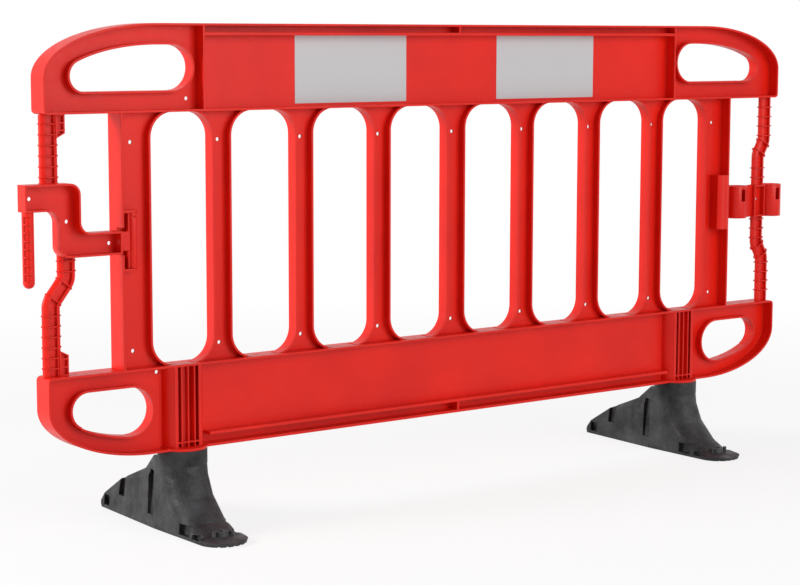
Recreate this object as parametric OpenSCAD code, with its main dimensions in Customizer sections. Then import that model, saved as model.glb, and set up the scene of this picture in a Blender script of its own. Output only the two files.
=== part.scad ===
// Moulded pedestrian barrier: an H-section panel on two swivelling feet, with a hook arm and an eye bracket.
// X runs along the panel, -Y is the front, Z = 0 is the ground.
// The modules draw about the panel's middle plane.

/* [Panel] */
// Distance from a post's outer face to the panel's end
end_len = 164; // [158:1:180]
// Height of the moulded panel
panel_h = 844; // [780:2:900]
// Height of the panel's underside above the ground
panel_lift = 166; // [150:1:190]
// Depth of the outer flanges
panel_d = 50; // [46:1:60]
// Thickness of the middle web
web_t = 3.5; // [2.5:0.1:5]
// Distance of the web's front face behind the middle plane
web_set = 2.5; // [0:0.1:4]
// Thickness of flanges and walls
wall_t = 4.5; // [3:0.1:6]
// Height of the top rail
rail_top_h = 172; // [150:1:190]
// Height of the bottom rail
rail_bottom_h = 172; // [160:1:190]

/* [Bars and slots] */
// Distance between bar centres
bar_pitch = 200; // [190:1:210]
// Width of a bar
bar_w = 44; // [36:1:56]
// Width of the middle bar
mid_bar_w = 50; // [40:1:60]
// Width of the two posts
post_w = 72; // [64:1:84]
// Corner radius of a slot
slot_r = 50; // [20:1:60]
// Depth of the rim walls round the slots
rim_d = 28; // [20:1:40]
// Diameter of the drain holes
drain_d = 8; // [4:0.5:12]

/* [Rails] */
// Distance of the flat board's end inside the post's centre line
board_off = 151; // [140:1:170]
// Thickness of the long ribs in the rails
rib_t = 6; // [3:0.5:8]
// Clear width of the groove between a long rib and its flange
groove_w = 13; // [8:0.5:20]
// Width of a reflective sheet
sheet_w = 287; // [200:1:300]
// Distance of the sheet's inner edge from the middle
sheet_in = 125; // [60:1:180]
// Thickness of a reflective sheet
sheet_t = 0.5; // [0.3:0.1:1]
// Gap between a sheet's edge and the rib or flange next to it
sheet_gap = 1.5; // [0.5:0.5:6]

/* [Wings] */
// Length of the upper corner curve
top_curve_a = 255; // [200:1:280]
// Height of the upper corner curve
top_curve_b = 103; // [80:1:120]
// Length of the lower corner curve
low_curve_a = 230; // [180:1:250]
// Height of the lower corner curve
low_curve_b = 106; // [80:1:130]
// Small corner radius at a wing's outer end
wing_r = 9; // [6:0.5:14]
// Margin between the upper hand hole and the edge
top_margin = 41.5; // [36:0.5:48]
// Margin between the lower hand hole and the edge
low_margin = 36; // [32:0.5:44]

/* [End rods] */
// Distance of a rod's centre line inside the panel's end
rod_inset = 20; // [19.5:0.5:26]
// Half width of a rod's oval section
rod_a = 19; // [15:0.5:20]
// Half depth of a rod's oval section
rod_b = 10; // [8:0.5:10.5]
// Half width of the groove in a rod
rod_groove = 8.5; // [5:0.5:10]
// Thickness left between the two grooves
rod_web = 5; // [3:0.5:8]
// How far the cross ribs stick out on the hook side
hook_rib_out = 1.8; // [1:0.1:3]
// How far the cross ribs stick out on the eye side
eye_rib_out = 3.2; // [1:0.1:3.4]
// Thickness of a cross rib
rod_rib_t = 2.4; // [1.5:0.1:4]
// Distance between cross ribs on the hook side
hook_rib_pitch = 20.2; // [16:0.1:30]
// Distance between cross ribs on the eye side
eye_rib_pitch = 23; // [16:0.1:30]
// Inward jog of the rod on the hook side
hook_jog = 34; // [20:1:40]
// Inward jog of the rod on the eye side
eye_jog = 20; // [10:1:24]
// Bend radius of a rod's centre line
bend_r = 25; // [22:1:30]
// Lean of the hook side's rod where it jogs
hook_lean = 38; // [34:1:44]
// Lean of the hook side's rod where it jogs back behind the arm's top bar
hook_lean_high = 44; // [40:1:46]
// Diameter of the hole through the rod behind the arm's middle hole
rod_hole_d = 14; // [8:1:15]
// Lean of the eye side's rod where it jogs
eye_lean = 30; // [26:1:32]
// Height of the hook side's lower jog above the slots' lower end
hook_jog_low = 132; // [110:1:150]
// Height of the hook side's upper jog above the slots' lower end
hook_jog_high = 314; // [306:1:322]
// Height of the eye side's lower jog above the slots' lower end
eye_jog_low = 103; // [80:1:140]
// Height of the eye side's upper jog above the slots' lower end
eye_jog_high = 353; // [330:1:390]

/* [Hook arm] */
// Depth of the arm, front to back
arm_d = 30; // [24:1:36]
// Gap between the arm's back and the rod's ribs
arm_gap = 2; // [0.3:0.1:3]
// Thickness of the arm's back plate and walls
arm_t = 4; // [3:0.1:6]
// Height of the arm's top bar
arm_top_h = 51; // [44:1:60]
// Height of the arm's lower bar
arm_low_h = 45; // [38:1:52]
// Width of the arm's upright part
arm_up_w = 46; // [38:1:52]
// Height of the arm from the lower bar's underside to the top
arm_h = 141; // [130:1:150]
// Height of the lower bar's underside above the slots' lower end
arm_rise = 230; // [200:1:260]
// Diameter of the hook pin
pin_d = 22.6; // [18:0.1:24]
// Length of the hook pin below the arm
pin_len = 144; // [100:1:160]

/* [Arm hinge] */
// Distance of the hinge axis from the post's centre line
hinge_off = 6; // [2:0.5:8]
// Diameter of the hinge barrel
barrel_d = 17.6; // [13:0.1:18]
// Length of the hinge barrel
barrel_len = 108; // [90:1:120]
// Diameter of the hinge pin
hinge_pin_d = 6.4; // [4:0.1:7]
// Radial running clearance of the pin in the barrel
hinge_play = 0.08; // [0.02:0.01:0.1]
// Gap between the barrel and the lugs above and below
lug_gap = 0.4; // [0.3:0.1:2]
// Thickness of the lugs
lug_t = 5; // [3:0.5:8]

/* [Eye bracket] */
// Height of the eye bracket
eye_h = 78; // [60:2:90]
// Height of the eye bracket's underside above the slots' lower end
eye_rise = 209; // [190:1:250]
// Inner diameter of an eye
eye_d = 43; // [40:0.5:44]
// Wall of an eye
eye_t = 4.5; // [3:0.5:6]
// Width of the window high in the front of an eye
eye_window = 13; // [6:1:20]
// Distance of the outer eye's axis from the panel's end
eye_reach = 7; // [6:1:14]
// Distance of the inner eye's axis from the post's centre line
inner_eye_off = 87; // [80:1:92]

/* [Foot sockets] */
// Distance of a foot's swivel axis inside the post's centre line
foot_off = 109; // [106:1:118]
// Half width of a foot socket
socket_half = 50; // [50:0.5:56]
// Radius of the socket's barrel wall
socket_r = 46.5; // [44:0.5:47]
// Distance of the barrel wall's centre behind the front it faces
socket_set = 10; // [8:0.5:12]
// Radius of the round lip over a foot
lip_r = 50; // [46:0.5:50]
// Number of upright ribs on a socket
socket_ribs = 5; // [3:2:7]
// Distance between the upright ribs
socket_rib_pitch = 15; // [12:0.5:16]
// Radius of the socket's bore
bore_r = 12.3; // [10:0.1:14]
// Wall of the socket's tube
tube_t = 3.7; // [3:0.1:4.5]
// Depth of the socket's bore
bore_len = 118; // [100:1:130]

/* [Feet] */
// Length of a foot from its swivel axis to the toe
toe_len = 194; // [180:1:220]
// Length of a foot from its swivel axis to the heel
heel_len = 278; // [250:1:300]
// Half width of a foot at the toe
toe_half = 50; // [47:1:58]
// Half width of a foot below the panel
mid_half = 50; // [48:1:56]
// Half width of a foot at the heel
heel_half = 36; // [30:1:40]
// Height of the round collar under the panel
collar_h = 30; // [20:1:36]
// Radial clearance of the spigot in its bore
spigot_play = 0.3; // [0.3:0.05:0.6]
// Gap between the collar and the panel
collar_gap = 0.3; // [0.3:0.1:2]
// Height of the tread bars under a foot
tread_h = 4; // [2:0.5:6]
// Distance between the tread bars
tread_pitch = 36; // [28:1:48]
// Diameter of the fixing hole in the toe
fixing_d = 18; // [10:1:22]

/* [Hidden] */

red = [0.83, 0.21, 0.17];
dark = [0.22, 0.22, 0.23];
white = [0.86, 0.86, 0.85];

half_d = panel_d / 2;
base_z = panel_lift;
top_z = base_z + panel_h;
slot_low = base_z + rail_bottom_h;
slot_top = top_z - rail_top_h;
post_x = 4 * bar_pitch;
post_out = post_x + post_w / 2;
half_l = post_out + end_len;
foot_x = post_x - foot_off;
board_half = post_x - board_off;
rod_x = half_l - rod_inset;
gusset_reach = 32;
web_back = web_set + web_t;
slot_h = slot_top - slot_low;
low_drain = slot_low + 32.8;
top_drain = slot_top - 57.4;
big = 3000;

// Upper hand hole: the inner round end and the outer small round
top_hole_r = 44.5;
top_hole_in = half_l - 289;
top_hole_out = half_l - 92;
top_hole_tip = 30;
top_hole_low = top_z - top_margin - 2 * top_hole_r;
// Lower hand hole
low_hole_r = 48;
low_hole_in = half_l - 187;
low_hole_out = half_l - 91;
low_hole_tip = 35;
low_hole_top = base_z + low_margin + 3 + 2 * low_hole_r;

// Hook arm and its hinge
rod_front = rod_b + hook_rib_out;
arm_back = -(rod_front + arm_gap);
arm_front = arm_back - arm_d;
arm_low = slot_low + arm_rise;
arm_top = arm_low + arm_h;
arm_end = -half_l - 52;
arm_root = -post_out - 10;
arm_up_right = -rod_x + hook_jog + 11;
arm_up_left = arm_up_right - arm_up_w;
hinge_x = -post_x - hinge_off;
hinge_y = -(half_d - web_set) / 2;
barrel_low = arm_low + arm_low_h / 2 - barrel_len / 2;
hook_x = arm_end + pin_d / 2 + 1;
hook_y = (arm_front + arm_back) / 2;
notch_gap = 4;

// Eye bracket
eye_low = slot_low + eye_rise;
eye_mid = eye_low + eye_h / 2;
eye_top = eye_low + eye_h;
eye_rod_x = rod_x - eye_jog;
eye_x = half_l + eye_reach;
inner_eye_x = post_x + inner_eye_off;
// The bulge on the right post: a circle that starts just behind the post's front edges
boss_half = 18.5;
boss_out = 10;
boss_step = 1;
boss_r = (boss_half * boss_half + boss_out * boss_out) / (2 * boss_out);
boss_x = post_out - boss_half - boss_step / 2;
boss_y = boss_r - boss_out - half_d + boss_step;

collar_top = base_z - collar_gap;
collar_low = collar_top - collar_h;
// The origin is under the middle of the whole part, so the panel stands this far in front of it
panel_y = (toe_len - heel_len) / 2;
spigot_r = bore_r - spigot_play;

// ---- helpers ----

function arc(cx, cz, r, a0, a1, n = 20) =
  [for (i = [0 : n]) let (a = a0 + (a1 - a0) * i / n) [cx + r * cos(a), cz + r * sin(a)]];

// Points of an ellipse moved inwards along its normal
function ell(cx, cz, a, b, inset, t0, t1, n = 28) =
  [for (i = [0 : n])
    let (t = t0 + (t1 - t0) * i / n, nx = b * cos(t), nz = a * sin(t), m = norm([nx, nz]))
    [cx + a * cos(t) - inset * nx / m, cz + b * sin(t) - inset * nz / m]];

// A shape drawn in X and Z, given its thickness along Y
module slab(y0, y1) {
  translate([0, y1, 0]) rotate([90, 0, 0]) linear_extrude(y1 - y0) children();
}

module web() {
  slab(web_set, web_back) children();
}

module deep() {
  slab(-half_d, half_d) children();
}

module shallow() {
  slab(-rim_d / 2, rim_d / 2) children();
}

module rect(x0, z0, x1, z1) {
  translate([x0, z0]) square([x1 - x0, z1 - z0]);
}

module drain(x, z) {
  slab(-half_d, half_d) translate([x, z]) circle(d = drain_d, $fn = 32);
}

module mirrored() {
  mirror([1, 0, 0]) children();
}

// ---- slots, bars and posts ----

function member_x(i) = i * bar_pitch;
function member_half(i) = abs(i) == 4 ? post_w / 2 : (i == 0 ? mid_bar_w : bar_w) / 2;

// The slot between member i and member i + 1, grown by g
module slot(i, g = 0) {
  x0 = member_x(i) + member_half(i);
  x1 = member_x(i + 1) - member_half(i + 1);
  rect(x0 + slot_r, slot_low - g, x1 - slot_r, slot_top + g);
  rect(x0 - g, slot_low + slot_r, x1 + g, slot_top - slot_r);
  for (x = [x0 + slot_r, x1 - slot_r], z = [slot_low + slot_r, slot_top - slot_r])
    translate([x, z]) circle(r = slot_r + g, $fn = 96);
}

// Outline of member i with its flared ends
module member_2d(i) {
  difference() {
    rect(member_x(i) - bar_pitch / 2, slot_low, member_x(i) + bar_pitch / 2, slot_top);
    slot(i - 1);
    slot(i);
  }
}

module bar(i) {
  color(red) difference() {
    union() {
      web() member_2d(i);
      shallow() intersection() {
        member_2d(i);
        union() {
          slot(i - 1, wall_t);
          slot(i, wall_t);
        }
      }
    }
    drain(member_x(i), low_drain);
    drain(member_x(i), top_drain);
  }
}

module post_2d() {
  difference() {
    rect(post_x - bar_pitch / 2, slot_low, post_out, slot_top);
    slot(3);
  }
}

module post_body() {
  difference() {
    union() {
      web() post_2d();
      shallow() intersection() {
        post_2d();
        slot(3, wall_t);
      }
      deep() rect(post_out - wall_t, slot_low, post_out, slot_top);
    }
    drain(post_x, low_drain);
    drain(post_x, top_drain);
  }
}

// Lug that carries one end of the hinge pin
module hinge_lug(z) {
  x0 = -post_out + wall_t / 2;
  x1 = hinge_x + barrel_d / 2;
  translate([0, 0, z]) linear_extrude(lug_t) difference() {
    union() {
      translate([x0, hinge_y]) square([hinge_x - x0, web_set - hinge_y + web_t / 2]);
      translate([hinge_x, hinge_y]) square([x1 - hinge_x, web_set - hinge_y + web_t / 2]);
      translate([hinge_x, hinge_y]) circle(d = barrel_d, $fn = 48);
      translate([x0, hinge_y - barrel_d / 2]) square([hinge_x - x0, barrel_d / 2]);
    }
    translate([hinge_x, hinge_y]) circle(d = hinge_pin_d, $fn = 48);
  }
}

module post_left() {
  color(red) {
    difference() {
      mirrored() post_body();
      // Notch that lets the arm's tongue through the outer wall
      translate([-post_out - 1, -half_d - 1, arm_low - notch_gap])
        cube([wall_t + 2, half_d + 1 - 4, arm_low_h + 2 * notch_gap]);
    }
    hinge_lug(barrel_low - lug_gap - lug_t);
    hinge_lug(barrel_low + barrel_len + lug_gap);
  }
}

// Section of the bulge on the right post, moved inwards by d
module boss_2d(d) {
  translate([-boss_half + d, 0]) square([2 * (boss_half - d), web_set - boss_y + 1]);
  intersection() {
    circle(r = boss_r - d, $fn = 96);
    translate([-boss_half + d, -boss_r]) square([2 * (boss_half - d), boss_r + 1]);
  }
}

module post_right() {
  low = eye_low - 22;
  high = eye_top + 30;
  color(red) {
    post_body();
    // Bulged hollow block that carries the eye bracket
    translate([boss_x, boss_y, low]) {
      linear_extrude(high - low) difference() {
        boss_2d(0);
        boss_2d(wall_t);
      }
      for (z = [0, high - low - wall_t])
        translate([0, 0, z]) linear_extrude(wall_t) boss_2d(0);
    }
  }
}

// ---- rails ----

module top_rail() {
  rib_z = top_z - wall_t - groove_w - rib_t;
  color(red) {
    web() rect(-board_half, slot_top, board_half, top_z);
    deep() {
      rect(-board_half, slot_top, board_half, slot_top + wall_t);
      rect(-board_half, top_z - wall_t, board_half, top_z);
      rect(-board_half, slot_top, -board_half + wall_t, top_z);
      rect(board_half - wall_t, slot_top, board_half, top_z);
      rect(-board_half, rib_z, board_half, rib_z + rib_t);
      rect(-wall_t / 2, rib_z, wall_t / 2, top_z);
    }
  }
}

module sheet(side) {
  z0 = slot_top + wall_t + sheet_gap + 4;
  z1 = top_z - wall_t - groove_w - rib_t - sheet_gap;
  x0 = side > 0 ? sheet_in : -sheet_in - sheet_w;
  color(white) slab(web_set - sheet_t, web_set) rect(x0, z0, x0 + sheet_w, z1);
}

module bottom_rail() {
  end_x = foot_x - socket_half;
  rib_z = base_z + wall_t + 2 + groove_w + 4;
  color(red) {
    web() rect(-end_x, base_z, end_x, slot_low);
    deep() {
      rect(-end_x, base_z, end_x, base_z + wall_t + 1);
      rect(-end_x, slot_low - wall_t, end_x, slot_low);
      rect(-end_x, rib_z, end_x, rib_z + rib_t);
      rect(-wall_t / 2, base_z, wall_t / 2, rib_z);
    }
  }
}

// ---- wings ----

function wing_top_pts(d, x0) = concat([[x0, top_z - d]],
  ell(half_l - top_curve_a, top_z - top_curve_b, top_curve_a, top_curve_b, d, 90, 0),
  arc(half_l - wing_r, slot_top + wing_r, wing_r - d, 0, -90, 6),
  [[x0, slot_top + d]]);

function top_hole_pts(g) = concat(
  arc(top_hole_in, top_hole_low + top_hole_r, top_hole_r + g, 270, 90),
  ell(half_l - top_curve_a, top_z - top_curve_b, top_curve_a, top_curve_b, top_margin - g, 90, 42, 16),
  arc(top_hole_out, top_hole_low + top_hole_tip, top_hole_tip + g, 71, -90, 16));

module wing_top() {
  difference() {
    union() {
      web() polygon(wing_top_pts(0, board_half));
      deep() difference() {
        polygon(wing_top_pts(0, board_half));
        polygon(wing_top_pts(wall_t, board_half - 1));
      }
      shallow() polygon(top_hole_pts(wall_t));
    }
    slab(-half_d, half_d) polygon(top_hole_pts(0));
    drain(board_half + 23, slot_top + 25);
  }
}

function wing_low_pts(d, x0) = concat([[x0, base_z + d]],
  ell(half_l - low_curve_a, base_z + low_curve_b, low_curve_a, low_curve_b, d, -90, 0),
  arc(half_l - wing_r, slot_low - wing_r, wing_r - d, 0, 90, 6),
  [[x0, slot_low - d]]);

function low_hole_pts(g) = concat(
  arc(low_hole_in, low_hole_top - low_hole_r, low_hole_r + g, 90, 270),
  ell(half_l - low_curve_a, base_z + low_curve_b, low_curve_a, low_curve_b, low_margin - g, -77, -42, 14),
  arc(low_hole_out, low_hole_top - low_hole_tip, low_hole_tip + g, -64, 90, 14));

module wing_bottom() {
  x0 = foot_x + socket_half;
  difference() {
    union() {
      web() polygon(wing_low_pts(0, x0));
      deep() difference() {
        polygon(wing_low_pts(0, x0));
        polygon(wing_low_pts(wall_t, x0 - 1));
      }
      shallow() polygon(low_hole_pts(wall_t));
    }
    slab(-half_d, half_d) polygon(low_hole_pts(0));
    drain(x0 + 6, slot_low - 14);
  }
}

// ---- end rods ----

function rod_oval(g) = [for (i = [0 : 31]) [(rod_a + g) * cos(i * 11.25), (rod_b + g) * sin(i * 11.25)]];

// Section of a rod: an oval with a groove front and back
module rod_section() {
  difference() {
    polygon(rod_oval(0));
    for (y = [-rod_b, rod_web / 2])
      translate([-rod_groove, y - 0.5]) square([2 * rod_groove, rod_b - rod_web / 2 + 0.5]);
  }
}

module rod_rib(out) {
  translate([0, 0, -rod_rib_t / 2]) linear_extrude(rod_rib_t) polygon(rod_oval(out));
}

// Upright stretch from z0 to z1 at x, with cross ribs from z0 + first on
module rod_run(x, z0, z1, first, pitch, out) {
  translate([x, 0, z0]) linear_extrude(z1 - z0) rod_section();
  for (z = [z0 + first : pitch : z1 - 5])
    translate([x, 0, z]) rod_rib(out);
}

function jog_len(jog, lean) = (jog - 2 * bend_r * (1 - cos(lean))) / sin(lean);
function jog_height(jog, lean) = 2 * bend_r * sin(lean) + jog_len(jog, lean) * cos(lean);

// Two bends and the slanted stretch between them, from (x, z0) upwards; side 1 moves the rod towards +X
module rod_jog(x, z0, side, jog, lean, out) {
  slant = jog_len(jog, lean);
  rise = jog_height(jog, lean);
  translate([x + side * jog / 2, 0, z0 + rise / 2]) mirror([side > 0 ? 1 : 0, 0, 0]) {
    for (turn = [0, 180])
      rotate([0, turn, 0]) translate([jog / 2 - bend_r, 0, -rise / 2]) rotate([90, 0, 0])
        rotate_extrude(angle = lean, $fn = 96) translate([bend_r, 0]) rod_section();
    rotate([0, -lean, 0]) {
      translate([0, 0, -slant / 2]) linear_extrude(slant) rod_section();
      for (z = [-slant / 2, slant / 2])
        translate([0, 0, z]) rod_rib(out);
    }
  }
}

// Web plate with pockets that stiffens a rod at its end; up is 1 at the lower end and -1 at the upper end
module gusset(z, up, height) {
  rim = 3;
  drop = 10;
  x0 = -rod_x + rod_groove + 4;
  x1 = -rod_x + gusset_reach;
  pocket = (height - 4 * rim) / 3;
  difference() {
    slab(-rod_b + 0.5, rod_b - 0.5)
      polygon([[x0, z], [x1, z], [x1, z + up * (height - drop)], [x0, z + up * height]]);
    for (i = [0 : 2], y = [-rod_b, rod_web / 2]) {
      low = z + up * (rim + i * (pocket + rim));
      slab(y, y + rod_b - rod_web / 2)
        polygon([[x0 + 4, low], [x1 - rim, low], [x1 - rim, low + up * (pocket - (i == 2 ? drop - 1.5 : 0))],
          [x0 + 4, low + up * (pocket - (i == 2 ? 2 : 0))]]);
    }
  }
}

module end_rod_left() {
  low = slot_low + hook_jog_low;
  high = slot_low + hook_jog_high;
  rise = jog_height(hook_jog, hook_lean);
  rise_high = jog_height(hook_jog, hook_lean_high);
  inner_x = -rod_x + hook_jog;
  color(red) difference() {
    union() {
      rod_run(-rod_x, slot_low, low, 16, hook_rib_pitch, hook_rib_out);
      rod_jog(-rod_x, low, 1, hook_jog, hook_lean, hook_rib_out);
      rod_run(inner_x, low + rise, high, 8, hook_rib_pitch, hook_rib_out);
      translate([inner_x, 0, high]) rod_rib(hook_rib_out);
      rod_jog(inner_x, high, -1, hook_jog, hook_lean_high, hook_rib_out);
      translate([-rod_x, 0, high + rise_high]) rod_rib(hook_rib_out);
      rod_run(-rod_x, high + rise_high, slot_top, 12, hook_rib_pitch, hook_rib_out);
      gusset(slot_low, 1, 50);
      gusset(slot_top, -1, 46);
    }
    slab(-half_d, half_d) translate([inner_x + 3, arm_low + 66]) circle(d = rod_hole_d, $fn = 48);
  }
}

module end_rod_right_upper() {
  high = slot_low + eye_jog_high;
  color(red) {
    rod_run(eye_rod_x, eye_top, high, 18, eye_rib_pitch, eye_rib_out);
    rod_jog(eye_rod_x, high, 1, eye_jog, eye_lean, eye_rib_out);
    rod_run(rod_x, high + jog_height(eye_jog, eye_lean), slot_top, 6, eye_rib_pitch, eye_rib_out);
  }
}

module end_rod_right_lower() {
  low = slot_low + eye_jog_low;
  color(red) {
    rod_run(rod_x, slot_low, low, 26, eye_rib_pitch, eye_rib_out);
    rod_jog(rod_x, low, -1, eye_jog, eye_lean, eye_rib_out);
    rod_run(eye_rod_x, low + jog_height(eye_jog, eye_lean), eye_low, 6, eye_rib_pitch, eye_rib_out);
  }
}

// ---- eye bracket ----

// Round sleeve about an eye's axis with a window high in its front
module eye_sleeve(x) {
  outer_r = eye_d / 2 + eye_t;
  difference() {
    translate([x, 0, eye_low]) cylinder(r = outer_r, h = eye_h, $fn = 96);
    translate([x, 0, eye_low - 1]) cylinder(d = eye_d, h = eye_h + 2, $fn = 96);
    translate([x - eye_window / 2, -outer_r - 1, eye_mid + 2]) cube([eye_window, outer_r, eye_h / 2 - 10]);
  }
}

module eye_bracket() {
  strap = eye_t / 2;
  ring_mid = (eye_d + eye_t) / 2;
  x_in = inner_eye_x - ring_mid;
  x_out = inner_eye_x + ring_mid;
  block_l = eye_rod_x - rod_a;
  block_r = eye_rod_x + rod_a;
  color(red) difference() {
    union() {
      eye_sleeve(inner_eye_x);
      eye_sleeve(eye_x);
      translate([0, 0, eye_low]) linear_extrude(eye_h) {
        translate([post_out, -strap]) square([x_in - post_out, eye_t]);
        translate([x_out, -strap]) square([block_l - x_out + 1, eye_t]);
        translate([block_r - 1, -strap]) square([eye_x - ring_mid - block_r + 1, eye_t]);
        translate([block_l, -rod_b]) square([wall_t, 2 * rod_b]);
        translate([block_r - wall_t, -rod_b]) square([wall_t, 2 * rod_b]);
        translate([block_l, web_set]) square([2 * rod_a, web_t]);
      }
      for (z = [eye_low, eye_top - wall_t])
        translate([block_l, -rod_b, z]) cube([2 * rod_a, 2 * rod_b, wall_t]);
    }
    drain(eye_rod_x, eye_mid + 3);
  }
}

// ---- hook arm ----

// Outline of the arm in X and Z, moved inwards by d
module arm_2d(d) {
  r = 22;
  difference() {
    union() {
      rect(arm_end + d, arm_top - arm_top_h + d, arm_up_right - r, arm_top - d);
      rect(arm_up_left + d, arm_low + r, arm_up_right - d, arm_top - r);
      rect(arm_up_left + r, arm_low + d, arm_root - d, arm_low + arm_low_h - d);
      translate([arm_up_right - r, arm_top - r]) circle(r = r - d, $fn = 64);
      translate([arm_up_left + r, arm_low + r]) circle(r = r - d, $fn = 64);
      rect(arm_up_left - r, arm_top - arm_top_h - r, arm_up_left + r, arm_top - arm_top_h + d);
      rect(arm_up_right - r, arm_low + arm_low_h - d, arm_up_right + r, arm_low + arm_low_h + r);
    }
    translate([arm_up_left - r, arm_top - arm_top_h - r]) circle(r = r + d, $fn = 64);
    translate([arm_up_right + r, arm_low + arm_low_h + r]) circle(r = r + d, $fn = 64);
  }
}

module link_arm() {
  fin = 2.5;
  plate_left = hinge_x - barrel_d / 2 - fin;
  tongue_left = arm_root - arm_t;
  up_mid = (arm_up_left + arm_up_right) / 2;
  holes = [[hook_x + 10, arm_top - arm_top_h / 2 - 2], [up_mid + 6, arm_low + 67],
    [arm_root - 15, arm_low + 21]];
  color(red) {
    difference() {
      slab(arm_front, arm_back) arm_2d(0);
      slab(arm_front - 1, arm_back - arm_t) arm_2d(arm_t);
      for (p = holes)
        translate([p[0], arm_back + 1, p[1]]) rotate([90, 0, 0])
          cylinder(d = drain_d, h = arm_t + 2, $fn = 32);
    }
    // Tongue through the post's notch, plate and barrel with the bore for the hinge pin
    difference() {
      union() {
        translate([tongue_left, hinge_y - 9, arm_low + 4])
          cube([plate_left - tongue_left + 1, 11, arm_low_h - 8]);
        translate([plate_left, hinge_y - 3.5, barrel_low]) cube([hinge_x - plate_left, 7, barrel_len]);
        translate([hinge_x, hinge_y, barrel_low]) cylinder(d = barrel_d, h = barrel_len, $fn = 64);
      }
      translate([hinge_x, hinge_y, barrel_low - 1])
        cylinder(r = hinge_pin_d / 2 + hinge_play, h = barrel_len + 2, $fn = 48);
      translate([hinge_x, hinge_y, barrel_low + barrel_len - 7]) rotate([90, 0, 0])
        cylinder(d = 3, h = barrel_d, $fn = 24);
    }
  }
}

// Hanging pin, ribbed like the rods, with a round tip
module hook_pin() {
  pin_r = pin_d / 2;
  z1 = arm_top - arm_top_h;
  z0 = z1 - pin_len;
  color(red) translate([hook_x, hook_y, 0]) difference() {
    union() {
      translate([0, 0, z0 + pin_r]) cylinder(r = pin_r, h = pin_len - pin_r, $fn = 64);
      translate([0, 0, z0 + pin_r]) sphere(r = pin_r, $fn = 64);
    }
    // Flutes between the cross ribs, front and back
    for (i = [0 : 5], side = [-1, 1])
      translate([-3.5, side > 0 ? 3 : -3 - pin_r, z0 + pin_r + 4 + i * 21])
        cube([7, pin_r, 18]);
  }
}

module hinge_pin() {
  color("silver") translate([hinge_x, hinge_y, barrel_low - lug_gap - lug_t])
    cylinder(d = hinge_pin_d, h = barrel_len + 2 * (lug_gap + lug_t), $fn = 48);
}

// ---- foot sockets ----

module socket_wall(side) {
  intersection() {
    difference() {
      translate([0, side * -socket_set]) circle(r = socket_r, $fn = 96);
      translate([0, side * -socket_set]) circle(r = socket_r - wall_t, $fn = 96);
    }
    translate([-socket_half, side > 0 ? web_set : -half_d])
      square([2 * socket_half, half_d - side * web_set]);
  }
}

module foot_socket() {
  rib_z = base_z + 13;
  tube_r = bore_r + tube_t;
  difference() {
    union() {
      web() rect(-socket_half, base_z, socket_half, slot_low);
      deep() {
        rect(-socket_half, base_z, socket_half, base_z + wall_t + 1);
        rect(-socket_half, slot_low - wall_t, socket_half, slot_low);
      }
      translate([0, 0, base_z]) {
        cylinder(r = lip_r, h = wall_t + 1, $fn = 96);
        cylinder(r = tube_r, h = rail_bottom_h - 1, $fn = 96);
        linear_extrude(rail_bottom_h - 1) {
          socket_wall(-1);
          socket_wall(1);
          for (i = [0 : socket_ribs - 1]) {
            x = (i - (socket_ribs - 1) / 2) * socket_rib_pitch;
            translate([x - 1.5, -half_d]) square([3, panel_d]);
          }
        }
      }
      // Cross rib low on the front and the back
      translate([-2 * socket_rib_pitch, -half_d, rib_z]) cube([4 * socket_rib_pitch, panel_d, 3]);
    }
    translate([0, 0, base_z - 1]) cylinder(r = bore_r, h = bore_len + 1, $fn = 96);
    translate([0, 0, base_z + 70]) cylinder(r = bore_r + 1.6, h = bore_len - 70, $fn = 96);
  }
}

// ---- feet ----

// One level of the foot's body, for hull(): a broad rounded nose, the middle and a narrow heel
module foot_level(z, front, nose, mid, back, tail) {
  round_r = min(nose, 46);
  translate([0, 0, z]) linear_extrude(0.05) for (s = [-1, 1]) {
    translate([s * (nose - round_r), front + round_r]) circle(r = round_r, $fn = 36);
    translate([s * (mid - 8), 30]) circle(r = 8, $fn = 12);
    translate([s * (tail - 8), back - 8]) circle(r = 8, $fn = 12);
  }
}

// Pockets in both flanks from y0 to y1, x_low from the middle at height z0 and x_high at height z1
module flank_pocket(y0, y1, z0, z1, x_low, x_high) {
  far = mid_half + 20;
  for (side = [0, 1])
    mirror([side, 0, 0]) translate([0, y1, 0]) rotate([90, 0, 0]) linear_extrude(y1 - y0)
      polygon([[x_low, z0], [far, z0], [far, z1], [x_high, z1]]);
}

module spigot() {
  head_low = base_z + 70.5;
  head_r = bore_r + 1;
  difference() {
    union() {
      translate([0, 0, collar_top - 1]) cylinder(r = spigot_r, h = head_low - collar_top + 2, $fn = 96);
      translate([0, 0, head_low]) cylinder(r = head_r, h = 12, $fn = 96);
      translate([0, 0, head_low + 12]) cylinder(r1 = head_r, r2 = spigot_r - 3, h = 14, $fn = 96);
    }
    // Cross slots let the head close up as it snaps into the socket
    for (a = [0, 90])
      rotate([0, 0, a]) translate([-20, -1.5, head_low - 24]) cube([40, 3, 60]);
  }
}

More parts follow.
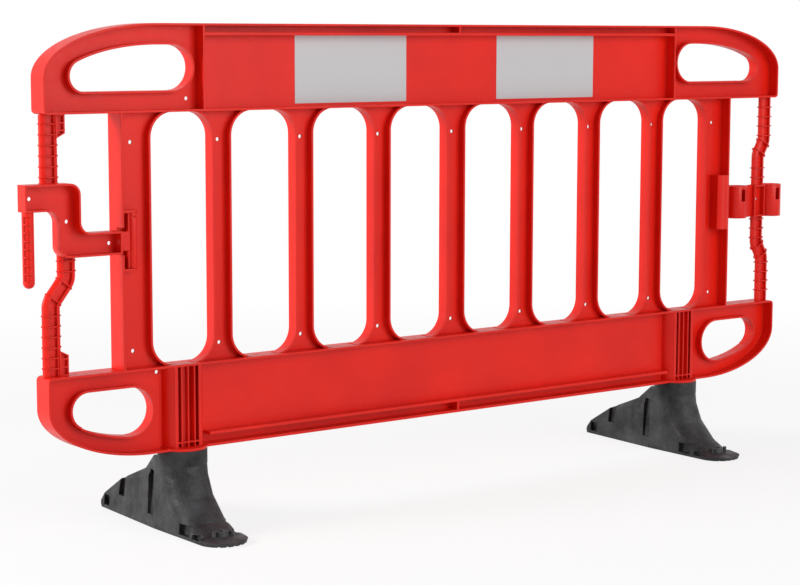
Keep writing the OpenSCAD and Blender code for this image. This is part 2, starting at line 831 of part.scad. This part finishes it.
module foot() {
  fixing_y = -toe_len + 52;
  tread_half = heel_half - 10;
  levels = [
    [0, -toe_len + 3, toe_half - 1, mid_half - 1, heel_len - 1, heel_half - 1],
    [8, -toe_len, toe_half, mid_half, heel_len, heel_half],
    [14, -toe_len + 48, toe_half - 1, mid_half - 1, heel_len - 1, heel_half],
    [32, -toe_len + 82, toe_half - 2, mid_half - 2, heel_len - 15, heel_half - 1],
    [73, -lip_r - 20, lip_r - 2, mid_half - 3, heel_len - 83, heel_half - 2],
    [112, -lip_r - 2, lip_r - 2, mid_half - 4, heel_len - 181, heel_half - 4],
    [collar_low + 14, -lip_r + 3, lip_r - 2, lip_r - 2, lip_r - 8, heel_half - 6]];
  color(dark) {
    difference() {
      union() {
        for (i = [0 : len(levels) - 2])
          hull() {
            foot_level(levels[i][0], levels[i][1], levels[i][2], levels[i][3], levels[i][4], levels[i][5]);
            foot_level(levels[i + 1][0], levels[i + 1][1], levels[i + 1][2], levels[i + 1][3],
              levels[i + 1][4], levels[i + 1][5]);
          }
        // Raised rim round the fixing hole
        translate([0, fixing_y, 4]) cylinder(r = fixing_d / 2 + 6, h = 18, $fn = 48);
      }
      // Tall pocket behind the neck, one at the back edge and a low one at the heel
      flank_pocket(37, 61, 26, 118, mid_half - 9, mid_half - 21);
      flank_pocket(166, 192, 40, 100, heel_half - 8, heel_half - 16);
      flank_pocket(232, 257, 8, 30, heel_half - 12, heel_half - 8);
      // Windows low in the toe's flanks
      flank_pocket(-104, -64, 7, 29, toe_half - 12, toe_half - 16);
      flank_pocket(-139, -112, 6, 15, toe_half - 12, toe_half - 13);
      translate([0, fixing_y, -1]) cylinder(d = fixing_d, h = 60, $fn = 48);
      // Hollows under the foot between the tread bars, and short ones at the toe's edge
      for (y = [-toe_len + 40 : tread_pitch : heel_len - 40])
        translate([-tread_half, y, -1]) cube([2 * tread_half, tread_pitch / 2, tread_h + 1]);
      for (x = [-30 : 15 : 30])
        translate([x - 2.5, -toe_len - 1, -1]) cube([5, 26, 3]);
    }
    // Stacking pips beside the fixing hole
    for (side = [-1, 1])
      translate([side * 20, fixing_y - 6, 8]) cylinder(r = 4, h = 16, $fn = 32);
    translate([0, 0, collar_low]) cylinder(r = lip_r, h = collar_h, $fn = 96);
    spigot();
  }
}

// ---- the nodes ----

module placed() {
  translate([0, panel_y, 0]) children();
}

placed() top_rail();
placed() bottom_rail();
placed() color(red) mirrored() wing_top();  // wing_top_left
placed() color(red) wing_top();  // wing_top_right
placed() color(red) mirrored() wing_bottom();  // wing_bottom_left
placed() color(red) wing_bottom();  // wing_bottom_right
placed() color(red) translate([-foot_x, 0, 0]) foot_socket();  // foot_socket_left
placed() color(red) translate([foot_x, 0, 0]) foot_socket();  // foot_socket_right
placed() post_left();
placed() post_right();
placed() bar(-3);  // bar_1
placed() bar(-2);  // bar_2
placed() bar(-1);  // bar_3
placed() bar(0);  // bar_4
placed() bar(1);  // bar_5
placed() bar(2);  // bar_6
placed() bar(3);  // bar_7
placed() end_rod_left();
placed() end_rod_right_upper();
placed() end_rod_right_lower();
placed() eye_bracket();
placed() link_arm();
placed() hook_pin();
placed() hinge_pin();
placed() sheet(-1);  // sheet_left
placed() sheet(1);  // sheet_right
placed() translate([-foot_x, 0, 0]) foot();  // foot_left
placed() translate([foot_x, 0, 0]) foot();  // foot_right
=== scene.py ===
import bpy
import bmesh
import math
from mathutils import Matrix, Vector
from mathutils.bvhtree import BVHTree


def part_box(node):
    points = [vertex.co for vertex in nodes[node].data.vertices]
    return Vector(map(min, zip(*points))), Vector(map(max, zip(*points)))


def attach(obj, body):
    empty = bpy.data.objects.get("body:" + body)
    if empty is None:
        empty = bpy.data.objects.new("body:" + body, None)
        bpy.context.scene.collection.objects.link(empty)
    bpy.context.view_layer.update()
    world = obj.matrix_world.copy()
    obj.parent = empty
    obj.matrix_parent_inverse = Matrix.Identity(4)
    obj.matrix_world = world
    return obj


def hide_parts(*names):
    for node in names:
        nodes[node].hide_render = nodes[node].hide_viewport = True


# Moulded pedestrian barrier. X runs along the panel, -Y is the front, metres.
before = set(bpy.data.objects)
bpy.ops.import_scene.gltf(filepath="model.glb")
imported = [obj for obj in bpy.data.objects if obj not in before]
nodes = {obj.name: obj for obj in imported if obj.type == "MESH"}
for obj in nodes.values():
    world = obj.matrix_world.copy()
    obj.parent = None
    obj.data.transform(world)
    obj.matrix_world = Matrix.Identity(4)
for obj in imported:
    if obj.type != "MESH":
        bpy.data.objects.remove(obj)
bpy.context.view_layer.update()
scene = bpy.context.scene
print("frame loaded:", len(nodes), "nodes")

panelY = -0.042  # the panel's middle plane


# An sRGB hex colour as linear values
def hexColour(text):
    parts = [int(text[i:i + 2], 16) / 255 for i in (1, 3, 5)]
    return tuple(c / 12.92 if c <= 0.04045 else ((c + 0.055) / 1.055) ** 2.4 for c in parts) + (1.0,)


def addNode(tree, kind, links=None, **settings):
    node = tree.nodes.new(kind)
    for name, value in settings.items():
        setattr(node, name, value)
    for socket, source in (links or {}).items():
        if isinstance(source, bpy.types.NodeSocket):
            tree.links.new(source, node.inputs[socket])
        else:
            node.inputs[socket].default_value = source
    return node


def newMaterial(name):
    material = bpy.data.materials.new(name)
    material.use_nodes = True
    tree = material.node_tree
    tree.nodes.clear()
    output = addNode(tree, "ShaderNodeOutputMaterial")
    shader = addNode(tree, "ShaderNodeBsdfPrincipled")
    tree.links.new(shader.outputs[0], output.inputs["Surface"])
    place = addNode(tree, "ShaderNodeTexCoord").outputs["Object"]
    return material, tree, shader, place


def perMetre(millimetres):
    return 1000 / millimetres


def colourMix(tree, factor, first, second):
    mix = addNode(tree, "ShaderNodeMix", data_type="RGBA")
    for socket, value in ((mix.inputs[0], factor), (mix.inputs[6], first), (mix.inputs[7], second)):
        if isinstance(value, bpy.types.NodeSocket):
            tree.links.new(value, socket)
        else:
            socket.default_value = value
    return mix.outputs[2]


def ramp(tree, source, low, high, toLow=0.0, toHigh=1.0):
    return addNode(tree, "ShaderNodeMapRange", {"Value": source, "From Min": low, "From Max": high,
                                                "To Min": toLow, "To Max": toHigh}).outputs[0]


# The normal rounded over the edges, and how much of an edge a place is, from 0 to 1, which places the painted edge
# highlight
def readEdges(tree, look):
    soft = addNode(tree, "ShaderNodeBevel", {"Radius": look["edgeMm"] / 1000}, samples=4)
    flat = addNode(tree, "ShaderNodeNewGeometry")
    align = addNode(tree, "ShaderNodeVectorMath", {0: soft.outputs[0], 1: flat.outputs["Normal"]},
                    operation="DOT_PRODUCT")
    return soft.outputs[0], ramp(tree, align.outputs["Value"], look["edgeStart"], look["edgeFull"])


# Polyethylene, injection moulded in a fine-blasted tool: even satin red, with a painted highlight along its edges.
# The blasted grain of 0.9 mm is too fine to show in the main render and only softens the highlights there.
redLook = dict(colour="#df1a06", deep="#d01304", edge="#e8402c", grainMm=0.9, cloudMm=160, scuffMm=14,
               roughness=0.38, edgeMm=1.8, edgeStart=0.995, edgeFull=0.8, edgeHighlightShare=0.2, grainDeepMm=0.2,
               grainShare=0.12, ior=1.51, specular=0.27)


def redPolyethylene():
    look = redLook
    material, tree, shader, place = newMaterial("red polyethylene")
    cloud = addNode(tree, "ShaderNodeTexNoise", {"Vector": place, "Scale": perMetre(look["cloudMm"]), "Detail": 3.0})
    grain = addNode(tree, "ShaderNodeTexNoise", {"Vector": place, "Scale": perMetre(look["grainMm"]), "Detail": 2.0})
    scuff = addNode(tree, "ShaderNodeTexNoise", {"Vector": place, "Scale": perMetre(look["scuffMm"]), "Detail": 5.0})
    soft, edge = readEdges(tree, look)
    colour = colourMix(tree, ramp(tree, cloud.outputs["Fac"], 0.3, 0.7), hexColour(look["colour"]),
                       hexColour(look["deep"]))
    # The paler edge colour, mixed in where the edges round over, is a painted highlight
    colour = colourMix(tree, ramp(tree, edge, 0, 1, 0, look["edgeHighlightShare"]), colour, hexColour(look["edge"]))
    tree.links.new(colour, shader.inputs["Base Color"])
    rough = ramp(tree, scuff.outputs["Fac"], 0.3, 0.7, look["roughness"] - 0.05, look["roughness"] + 0.07)
    tree.links.new(rough, shader.inputs["Roughness"])
    bump = addNode(tree, "ShaderNodeBump", {"Height": grain.outputs["Fac"], "Strength": look["grainShare"],
                                            "Distance": look["grainDeepMm"] / 1000, "Normal": soft})
    tree.links.new(bump.outputs[0], shader.inputs["Normal"])
    shader.inputs["IOR"].default_value = look["ior"]
    shader.inputs["Specular IOR Level"].default_value = look["specular"]
    return material


# Recycled vinyl and rubber crumb, pressed in a mould: charcoal grey, mottled, with a painted highlight along its edges
feetLook = dict(colour="#0e0e10", pale="#3a3a3c", edge="#464649", grainMm=2.2, cloudMm=52, flowMm=30, roughness=0.56,
                edgeMm=3.0, edgeStart=0.995, edgeFull=0.85, edgeHighlightShare=0.5, flowDeepMm=5, flowShare=0.9, grainDeepMm=0.6,
                grainShare=0.35, ior=1.53, specular=0.3)


def recycledVinyl():
    look = feetLook
    material, tree, shader, place = newMaterial("recycled vinyl")
    cloud = addNode(tree, "ShaderNodeTexNoise", {"Vector": place, "Scale": perMetre(look["cloudMm"]), "Detail": 6.0,
                                                 "Roughness": 0.6})
    grain = addNode(tree, "ShaderNodeTexNoise", {"Vector": place, "Scale": perMetre(look["grainMm"]), "Detail": 4.0})
    flow = addNode(tree, "ShaderNodeTexNoise", {"Vector": place, "Scale": perMetre(look["flowMm"]), "Detail": 5.0,
                                                "Distortion": 0.6})
    soft, edge = readEdges(tree, look)
    colour = colourMix(tree, ramp(tree, cloud.outputs["Fac"], 0.35, 0.72), hexColour(look["colour"]),
                       hexColour(look["pale"]))
    # The paler edge colour, mixed in where the edges round over, is a painted highlight
    colour = colourMix(tree, ramp(tree, edge, 0, 1, 0, look["edgeHighlightShare"]), colour, hexColour(look["edge"]))
    tree.links.new(colour, shader.inputs["Base Color"])
    tree.links.new(ramp(tree, flow.outputs["Fac"], 0.3, 0.7, look["roughness"] - 0.14, look["roughness"] + 0.12),
                   shader.inputs["Roughness"])
    coarse = addNode(tree, "ShaderNodeBump", {"Height": flow.outputs["Fac"], "Strength": look["flowShare"],
                                              "Distance": look["flowDeepMm"] / 1000, "Normal": soft})
    fine = addNode(tree, "ShaderNodeBump", {"Height": grain.outputs["Fac"], "Strength": look["grainShare"],
                                            "Distance": look["grainDeepMm"] / 1000, "Normal": coarse.outputs[0]})
    tree.links.new(fine.outputs[0], shader.inputs["Normal"])
    shader.inputs["IOR"].default_value = look["ior"]
    shader.inputs["Specular IOR Level"].default_value = look["specular"]
    return material


# Prismatic reflective film: off-white, smooth and clear-coated, sealed in cells of 4.2 mm that barely show
filmLook = dict(colour="#cacacc", seam="#bababc", cellMm=4.2, seamInner=0.04, seamOuter=0.09, roughness=0.3,
                coat=0.3)


def reflectiveFilm():
    look = filmLook
    material, tree, shader, place = newMaterial("reflective film")
    cells = addNode(tree, "ShaderNodeTexVoronoi", {"Vector": place, "Scale": perMetre(look["cellMm"]),
                                                   "Randomness": 0.0}, feature="DISTANCE_TO_EDGE")
    seam = ramp(tree, cells.outputs["Distance"], look["seamInner"], look["seamOuter"], 1, 0)
    colour = colourMix(tree, seam, hexColour(look["colour"]), hexColour(look["seam"]))
    tree.links.new(colour, shader.inputs["Base Color"])
    shader.inputs["Roughness"].default_value = look["roughness"]
    shader.inputs["Coat Weight"].default_value = look["coat"]
    return material


# Zinc-plated steel rod, drawn and cut: grey and fairly bright, with fine marks along its length
pinLook = dict(colour="#a9abb0", roughness=0.35, brushMm=0.4, brushStretch=0.05)


def platedSteel():
    look = pinLook
    material, tree, shader, place = newMaterial("plated steel")
    stretch = addNode(tree, "ShaderNodeMapping", {"Vector": place, "Scale": (1.0, 1.0, look["brushStretch"])})
    brush = addNode(tree, "ShaderNodeTexNoise", {"Vector": stretch.outputs[0], "Scale": perMetre(look["brushMm"]),
                                                 "Detail": 3.0})
    tree.links.new(ramp(tree, brush.outputs["Fac"], 0.3, 0.7, look["roughness"] - 0.08, look["roughness"] + 0.1),
                   shader.inputs["Roughness"])
    shader.inputs["Base Color"].default_value = hexColour(look["colour"])
    shader.inputs["Metallic"].default_value = 1.0
    return material


redMaterial = redPolyethylene()
feetMaterial = recycledVinyl()
filmMaterial = reflectiveFilm()
pinMaterial = platedSteel()
for name, node in nodes.items():
    if name.startswith("sheet"):
        material = filmMaterial
    elif name in ("foot_left", "foot_right"):
        material = feetMaterial
    elif name == "hinge_pin":
        material = pinMaterial
    else:
        material = redMaterial
    node.data.materials.clear()
    node.data.materials.append(material)
print("materials done")

# Moulded edges: these four get a small true round; on the panel's other pieces, which meet face to face, the
# material shades the edges round. Radii in millimetres.
edgeRounds = dict(foot_left=1.4, foot_right=1.4, link_arm=0.8, eye_bracket=0.6)
roundShape = dict(weldDistance=0.00001, flatAngle=math.radians(2), steps=2)
sharpAngle = math.radians(35)  # edges that turn more than this are kept crisp or bevelled


def roundEdges(piece, millimetres):
    weld = piece.modifiers.new("weld", "WELD")
    weld.merge_threshold = roundShape["weldDistance"]
    plain = piece.modifiers.new("plain faces", "DECIMATE")
    plain.decimate_type = "DISSOLVE"
    plain.angle_limit = roundShape["flatAngle"]
    bevel = piece.modifiers.new("edge rounds", "BEVEL")
    bevel.width = millimetres / 1000
    bevel.segments = roundShape["steps"]
    bevel.limit_method = "ANGLE"
    bevel.angle_limit = sharpAngle


for name, millimetres in edgeRounds.items():
    roundEdges(nodes[name], millimetres)
print("edges rounded")

# Even studio light: one broad lamp at the left end, behind the panel's line, and one soft lamp in front
lightLook = dict(floorTone="#f4f4f4", floorRoughness=0.9, floorSize=60, floorDrop=0.0005, floorGlow=0.8, whiteFrom=1.4,
                 whiteFull=3.2, aim=(0, 0, 0.5), leftPlace=(-6.5, 1.6, 2.6), leftSize=2.6, leftPower=440,
                 frontPlace=(1.2, -6.0, 2.6), frontSize=4.5, frontPower=215, worldStrength=0.385)


def seenDirectly(tree):
    path = addNode(tree, "ShaderNodeLightPath")
    first = addNode(tree, "ShaderNodeMath", {0: path.outputs["Is Camera Ray"], 1: path.outputs["Is Glossy Ray"]},
                    operation="MAXIMUM")
    return addNode(tree, "ShaderNodeMath", {0: first.outputs[0], 1: path.outputs["Is Transmission Ray"]},
                   operation="MAXIMUM").outputs[0]


def makeLamp(name, place, size, power):
    lamp = bpy.data.lights.new(name, "AREA")
    lamp.shape, lamp.size, lamp.energy = "DISK", size, power
    holder = bpy.data.objects.new(name, lamp)
    scene.collection.objects.link(holder)
    holder.location = place
    holder.rotation_euler = (Vector(lightLook["aim"]) - Vector(place)).to_track_quat("-Z", "Y").to_euler()


def makeStage():
    look = lightLook
    bpy.ops.mesh.primitive_plane_add(size=look["floorSize"], location=(0, 0, -look["floorDrop"]))
    floor = bpy.context.object
    floor.name = "floor"
    material, tree, shader, place = newMaterial("pale floor")
    shader.inputs["Base Color"].default_value = hexColour(look["floorTone"])
    shader.inputs["Roughness"].default_value = look["floorRoughness"]
    glow = addNode(tree, "ShaderNodeEmission", {"Color": (1, 1, 1, 1), "Strength": 1.0})
    away = addNode(tree, "ShaderNodeVectorMath", {0: place}, operation="LENGTH").outputs["Value"]
    whiter = ramp(tree, away, look["whiteFrom"], look["whiteFull"], look["floorGlow"], 1.0)  # runs into the white
    share = addNode(tree, "ShaderNodeMath", {0: seenDirectly(tree), 1: whiter}, operation="MULTIPLY")
    mix = addNode(tree, "ShaderNodeMixShader", {0: share.outputs[0], 1: shader.outputs[0], 2: glow.outputs[0]})
    output = [n for n in tree.nodes if n.type == "OUTPUT_MATERIAL"][0]
    tree.links.new(mix.outputs[0], output.inputs["Surface"])
    floor.data.materials.append(material)
    world = bpy.data.worlds.new("studio")
    scene.world = world
    world.use_nodes = True
    tree = world.node_tree
    tree.nodes.clear()
    dim = addNode(tree, "ShaderNodeBackground", {"Color": (1, 1, 1, 1), "Strength": look["worldStrength"]})
    white = addNode(tree, "ShaderNodeBackground", {"Color": (1, 1, 1, 1), "Strength": 1.0})
    mix = addNode(tree, "ShaderNodeMixShader", {0: seenDirectly(tree), 1: dim.outputs[0], 2: white.outputs[0]})
    addNode(tree, "ShaderNodeOutputWorld", {"Surface": mix.outputs[0]})
    makeLamp("left lamp", look["leftPlace"], look["leftSize"], look["leftPower"])
    makeLamp("front lamp", look["frontPlace"], look["frontSize"], look["frontPower"])


# Fitted to the photograph; angles in radians, lens and sensor in millimetres
cameraLook = dict(place=(-2.8478, -3.5839, 0.9895), yaw=-0.6523, pitch=-0.1230, roll=-0.0021, lens=94.04, sensor=36.0,
                  nearest=0.1, farthest=100)


def makeCamera():
    data = bpy.data.cameras.new("camera")
    data.sensor_fit = "AUTO"
    data.sensor_width = cameraLook["sensor"]
    data.lens = cameraLook["lens"]
    data.clip_start, data.clip_end = cameraLook["nearest"], cameraLook["farthest"]
    camera = bpy.data.objects.new("camera", data)
    scene.collection.objects.link(camera)
    turn = (Matrix.Rotation(cameraLook["yaw"], 4, "Z") @ Matrix.Rotation(cameraLook["pitch"], 4, "X")
            @ Matrix.Rotation(cameraLook["roll"], 4, "Y") @ Matrix.Rotation(math.radians(90), 4, "X"))
    camera.matrix_world = Matrix.Translation(cameraLook["place"]) @ turn
    scene.camera = camera
    return camera


makeStage()
camera = makeCamera()
scene.view_settings.view_transform = "Standard"
bpy.context.view_layer.update()
print("stage and camera done")

imageFrame = dict(width=800, height=585)
# Where things show in the photograph: outer edges, then features by their middles
imagePoints = dict(
    leftEdge=(18.5, None), rightEdge=(780.0, None), topEdge=(None, 24.0), bottomEdge=(None, 549.5),
    upperDotOne=(129.2, 142.1), upperDotMiddle=(451.3, 131.1), upperDotNine=(711.5, 122.3),
    lowerDotOne=(132.1, 350.7), lowerDotMiddle=(450.4, 318.2), lowerDotNine=(708.0, 291.8),
    sheetLeft=(351.5, 67.5), sheetRight=(545.5, 65.0), armDotOuter=(29.2, 199.2), armDotMiddle=(66.6, 221.7),
    bracketDot=(755.5, 199.5), pinTip=(29.0, 286.0))


def imageScale():
    return max(imageFrame["width"], imageFrame["height"]), camera.data.lens / camera.data.sensor_width


def imagePlace(point):
    local = camera.matrix_world.inverted() @ Vector(point)
    longSide, reach = imageScale()
    return (imageFrame["width"] / 2 - camera.data.shift_x * longSide - longSide * reach * local.x / local.z,
            imageFrame["height"] / 2 + camera.data.shift_y * longSide + longSide * reach * local.y / local.z)


def surfaceTree(names):
    depsgraph = bpy.context.evaluated_depsgraph_get()
    spots, faces = [], []
    for name in names:
        shown = nodes[name].evaluated_get(depsgraph)
        mesh = shown.to_mesh()
        start = len(spots)
        spots += [nodes[name].matrix_world @ v.co for v in mesh.vertices]
        faces += [[start + i for i in p.vertices] for p in mesh.polygons]
        shown.to_mesh_clear()
    return BVHTree.FromPolygons(spots, faces)


raySearch = dict(start=2.0, step=0.01, steps=500)  # metres along a ray that misses


def placeFromImage(x, y, tree):
    longSide, reach = imageScale()
    ray = Vector((x - imageFrame["width"] / 2 + camera.data.shift_x * longSide,
                  imageFrame["height"] / 2 - y + camera.data.shift_y * longSide, -longSide * reach))
    start = camera.matrix_world.translation
    ray = (camera.matrix_world.to_3x3() @ ray).normalized()
    hit = tree.ray_cast(start, ray)[0]
    if hit is not None:
        return hit
    nearest = [tree.find_nearest(start + ray * (raySearch["start"] + raySearch["step"] * i))
               for i in range(raySearch["steps"])]
    return min(nearest, key=lambda found: found[3])[0]


def finishPiece(name, shape, material):
    mesh = bpy.data.meshes.new(name)
    shape.to_mesh(mesh)
    shape.free()
    mesh.materials.append(material)
    piece = bpy.data.objects.new(name, mesh)
    scene.collection.objects.link(piece)
    return piece


# Reflective sheets: die-cut with barely rounded corners, stuck flat on the rail
sheetShape = dict(corner=0.0015, cornerSteps=4, edgeRound=0.0002, slide=0.002, taller=0.006)


def makeSheet(name, node, point, tree):
    low, high = (Vector(corner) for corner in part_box(node))
    high.z += sheetShape["taller"]
    size, middle = high - low, (low + high) / 2
    wanted = placeFromImage(*point, tree).x
    middle.x = min(max(wanted, middle.x - sheetShape["slide"]), middle.x + sheetShape["slide"])
    shape = bmesh.new()
    bmesh.ops.create_cube(shape, size=1.0)
    bmesh.ops.scale(shape, vec=size, verts=shape.verts)
    corners = [e for e in shape.edges if abs(e.verts[0].co.y - e.verts[1].co.y) > size.y / 2]
    bmesh.ops.bevel(shape, geom=corners, offset=sheetShape["corner"], offset_type="OFFSET",
                    segments=sheetShape["cornerSteps"], profile=0.5, affect="EDGES", material=-1)
    rim = [e for e in shape.edges if all(v.co.y < -size.y / 4 for v in e.verts)]
    bmesh.ops.bevel(shape, geom=rim, offset=sheetShape["edgeRound"], offset_type="OFFSET", segments=2, profile=0.5,
                    affect="EDGES", material=-1)
    bmesh.ops.translate(shape, verts=shape.verts, vec=middle)
    piece = finishPiece(name, shape, filmMaterial)
    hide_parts(node)
    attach(piece, "panel")
    return piece


railTree = surfaceTree(["top_rail"])
sheetPieces = [makeSheet("reflective_sheet_left", "sheet_left", imagePoints["sheetLeft"], railTree),
               makeSheet("reflective_sheet_right", "sheet_right", imagePoints["sheetRight"], railTree)]
print("sheets done")

# Hanging pin of the hook arm: a round shaft with shallow cells between cross ribs, on two sides
pinShape = dict(sides=64, tipSteps=10, tipShare=0.97, cells=8, firstCell=0.014, cellPitch=0.0155, cellTall=0.0128,
                facing=-127, halfBand=34, cellRim=0.0005, cellDeep=0.003)


def makeHookPin():
    look = pinShape
    low, high = (Vector(corner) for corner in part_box("hook_pin"))
    radius, length = (high.x - low.x) / 2, high.z - low.z
    shape = bmesh.new()
    bmesh.ops.create_cone(shape, cap_ends=True, segments=look["sides"], radius1=radius, radius2=radius, depth=length)
    bmesh.ops.translate(shape, verts=shape.verts, vec=(0, 0, length / 2))
    tip = [e for e in shape.edges if all(v.co.z < length / 4 for v in e.verts)]
    bmesh.ops.bevel(shape, geom=tip, offset=radius * look["tipShare"], offset_type="OFFSET", segments=look["tipSteps"],
                    profile=0.5, affect="EDGES", material=-1)
    starts = [look["firstCell"] + i * look["cellPitch"] for i in range(look["cells"])]
    for height in [z + part for z in starts for part in (0, look["cellTall"])]:
        bmesh.ops.bisect_plane(shape, geom=shape.verts[:] + shape.edges[:] + shape.faces[:], dist=0.00001,
                               plane_co=(0, 0, height), plane_no=(0, 0, 1))
    for start in starts:
        for turn in (look["facing"], look["facing"] + 180):
            way = Vector((math.cos(math.radians(turn)), math.sin(math.radians(turn)), 0))
            cell = [f for f in shape.faces if start < f.calc_center_median().z < start + look["cellTall"]
                    and f.normal.dot(way) > math.cos(math.radians(look["halfBand"]))]
            bmesh.ops.inset_region(shape, faces=cell, thickness=look["cellRim"], depth=-look["cellDeep"],
                                   use_boundary=True, use_even_offset=True)
    bmesh.ops.translate(shape, verts=shape.verts, vec=((low.x + high.x) / 2, (low.y + high.y) / 2, low.z))
    for face in shape.faces:
        face.smooth = True
    for edge in shape.edges:
        edge.smooth = edge.calc_face_angle(0) < sharpAngle
    piece = finishPiece("ribbed_pin", shape, redMaterial)
    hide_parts("hook_pin")
    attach(piece, "arm")
    return piece


ribbedPin = makeHookPin()
print("hook pin done")


# Holes on the part whose places in the photograph are known, in metres
holePlaces = dict(postX=0.8, lowRow=0.3708, highRow=0.7806, webFront=0.0025, armPlate=0.028, armOuter=(0.0223, 0.0275),
                  armMiddle=(0.1, 0.074), bracketX=0.96, bracketPlate=0.004, bracketRise=0.003)


def middleOf(spots):
    return tuple((min(values) + max(values)) / 2 for values in zip(*spots))


# Where the named holes and edges show in the render, in pixels
def featuresShown():
    depsgraph = bpy.context.evaluated_depsgraph_get()
    seen = []
    for piece in list(nodes.values()) + sheetPieces + [ribbedPin]:
        if piece.hide_render:
            continue
        shown = piece.evaluated_get(depsgraph)
        mesh = shown.to_mesh()
        seen += [imagePlace(piece.matrix_world @ v.co) for v in mesh.vertices]
        shown.to_mesh_clear()
    xs, ys = zip(*seen)
    holes = holePlaces
    barX = middleOf(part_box("bar_4"))[0]
    armLow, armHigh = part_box("link_arm")
    bracketMiddle = middleOf(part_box("eye_bracket"))
    pinMiddle, pinLow = middleOf(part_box("hook_pin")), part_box("hook_pin")[0]
    shows = dict(leftEdge=(min(xs), None), rightEdge=(max(xs), None), topEdge=(None, min(ys)),
                 bottomEdge=(None, max(ys)), pinTip=imagePlace((pinMiddle[0], pinMiddle[1], pinLow[2])),
                 bracketDot=imagePlace((holes["bracketX"], panelY + holes["bracketPlate"],
                                        bracketMiddle[2] + holes["bracketRise"])))
    for row, height in (("upper", holes["highRow"]), ("lower", holes["lowRow"])):
        for which, x in (("One", -holes["postX"]), ("Middle", barX), ("Nine", holes["postX"])):
            shows[row + "Dot" + which] = imagePlace((x, panelY + holes["webFront"], height))
    for name, (along, down) in (("armDotOuter", holes["armOuter"]), ("armDotMiddle", holes["armMiddle"])):
        shows[name] = imagePlace((armLow[0] + along, armLow[1] + holes["armPlate"], armHigh[2] - down))
    for name, piece in zip(("sheetLeft", "sheetRight"), sheetPieces):
        shows[name] = middleOf([imagePlace(piece.matrix_world @ v.co) for v in piece.data.vertices])
    return shows


# How far each thing shows from its point, in pixels
def pointReport():
    shows = featuresShown()
    return {name: {axis: None if wanted is None else round(found - wanted, 2)
                   for axis, wanted, found in zip("xy", imagePoints[name], shows[name])} for name in imagePoints}


pointReport()
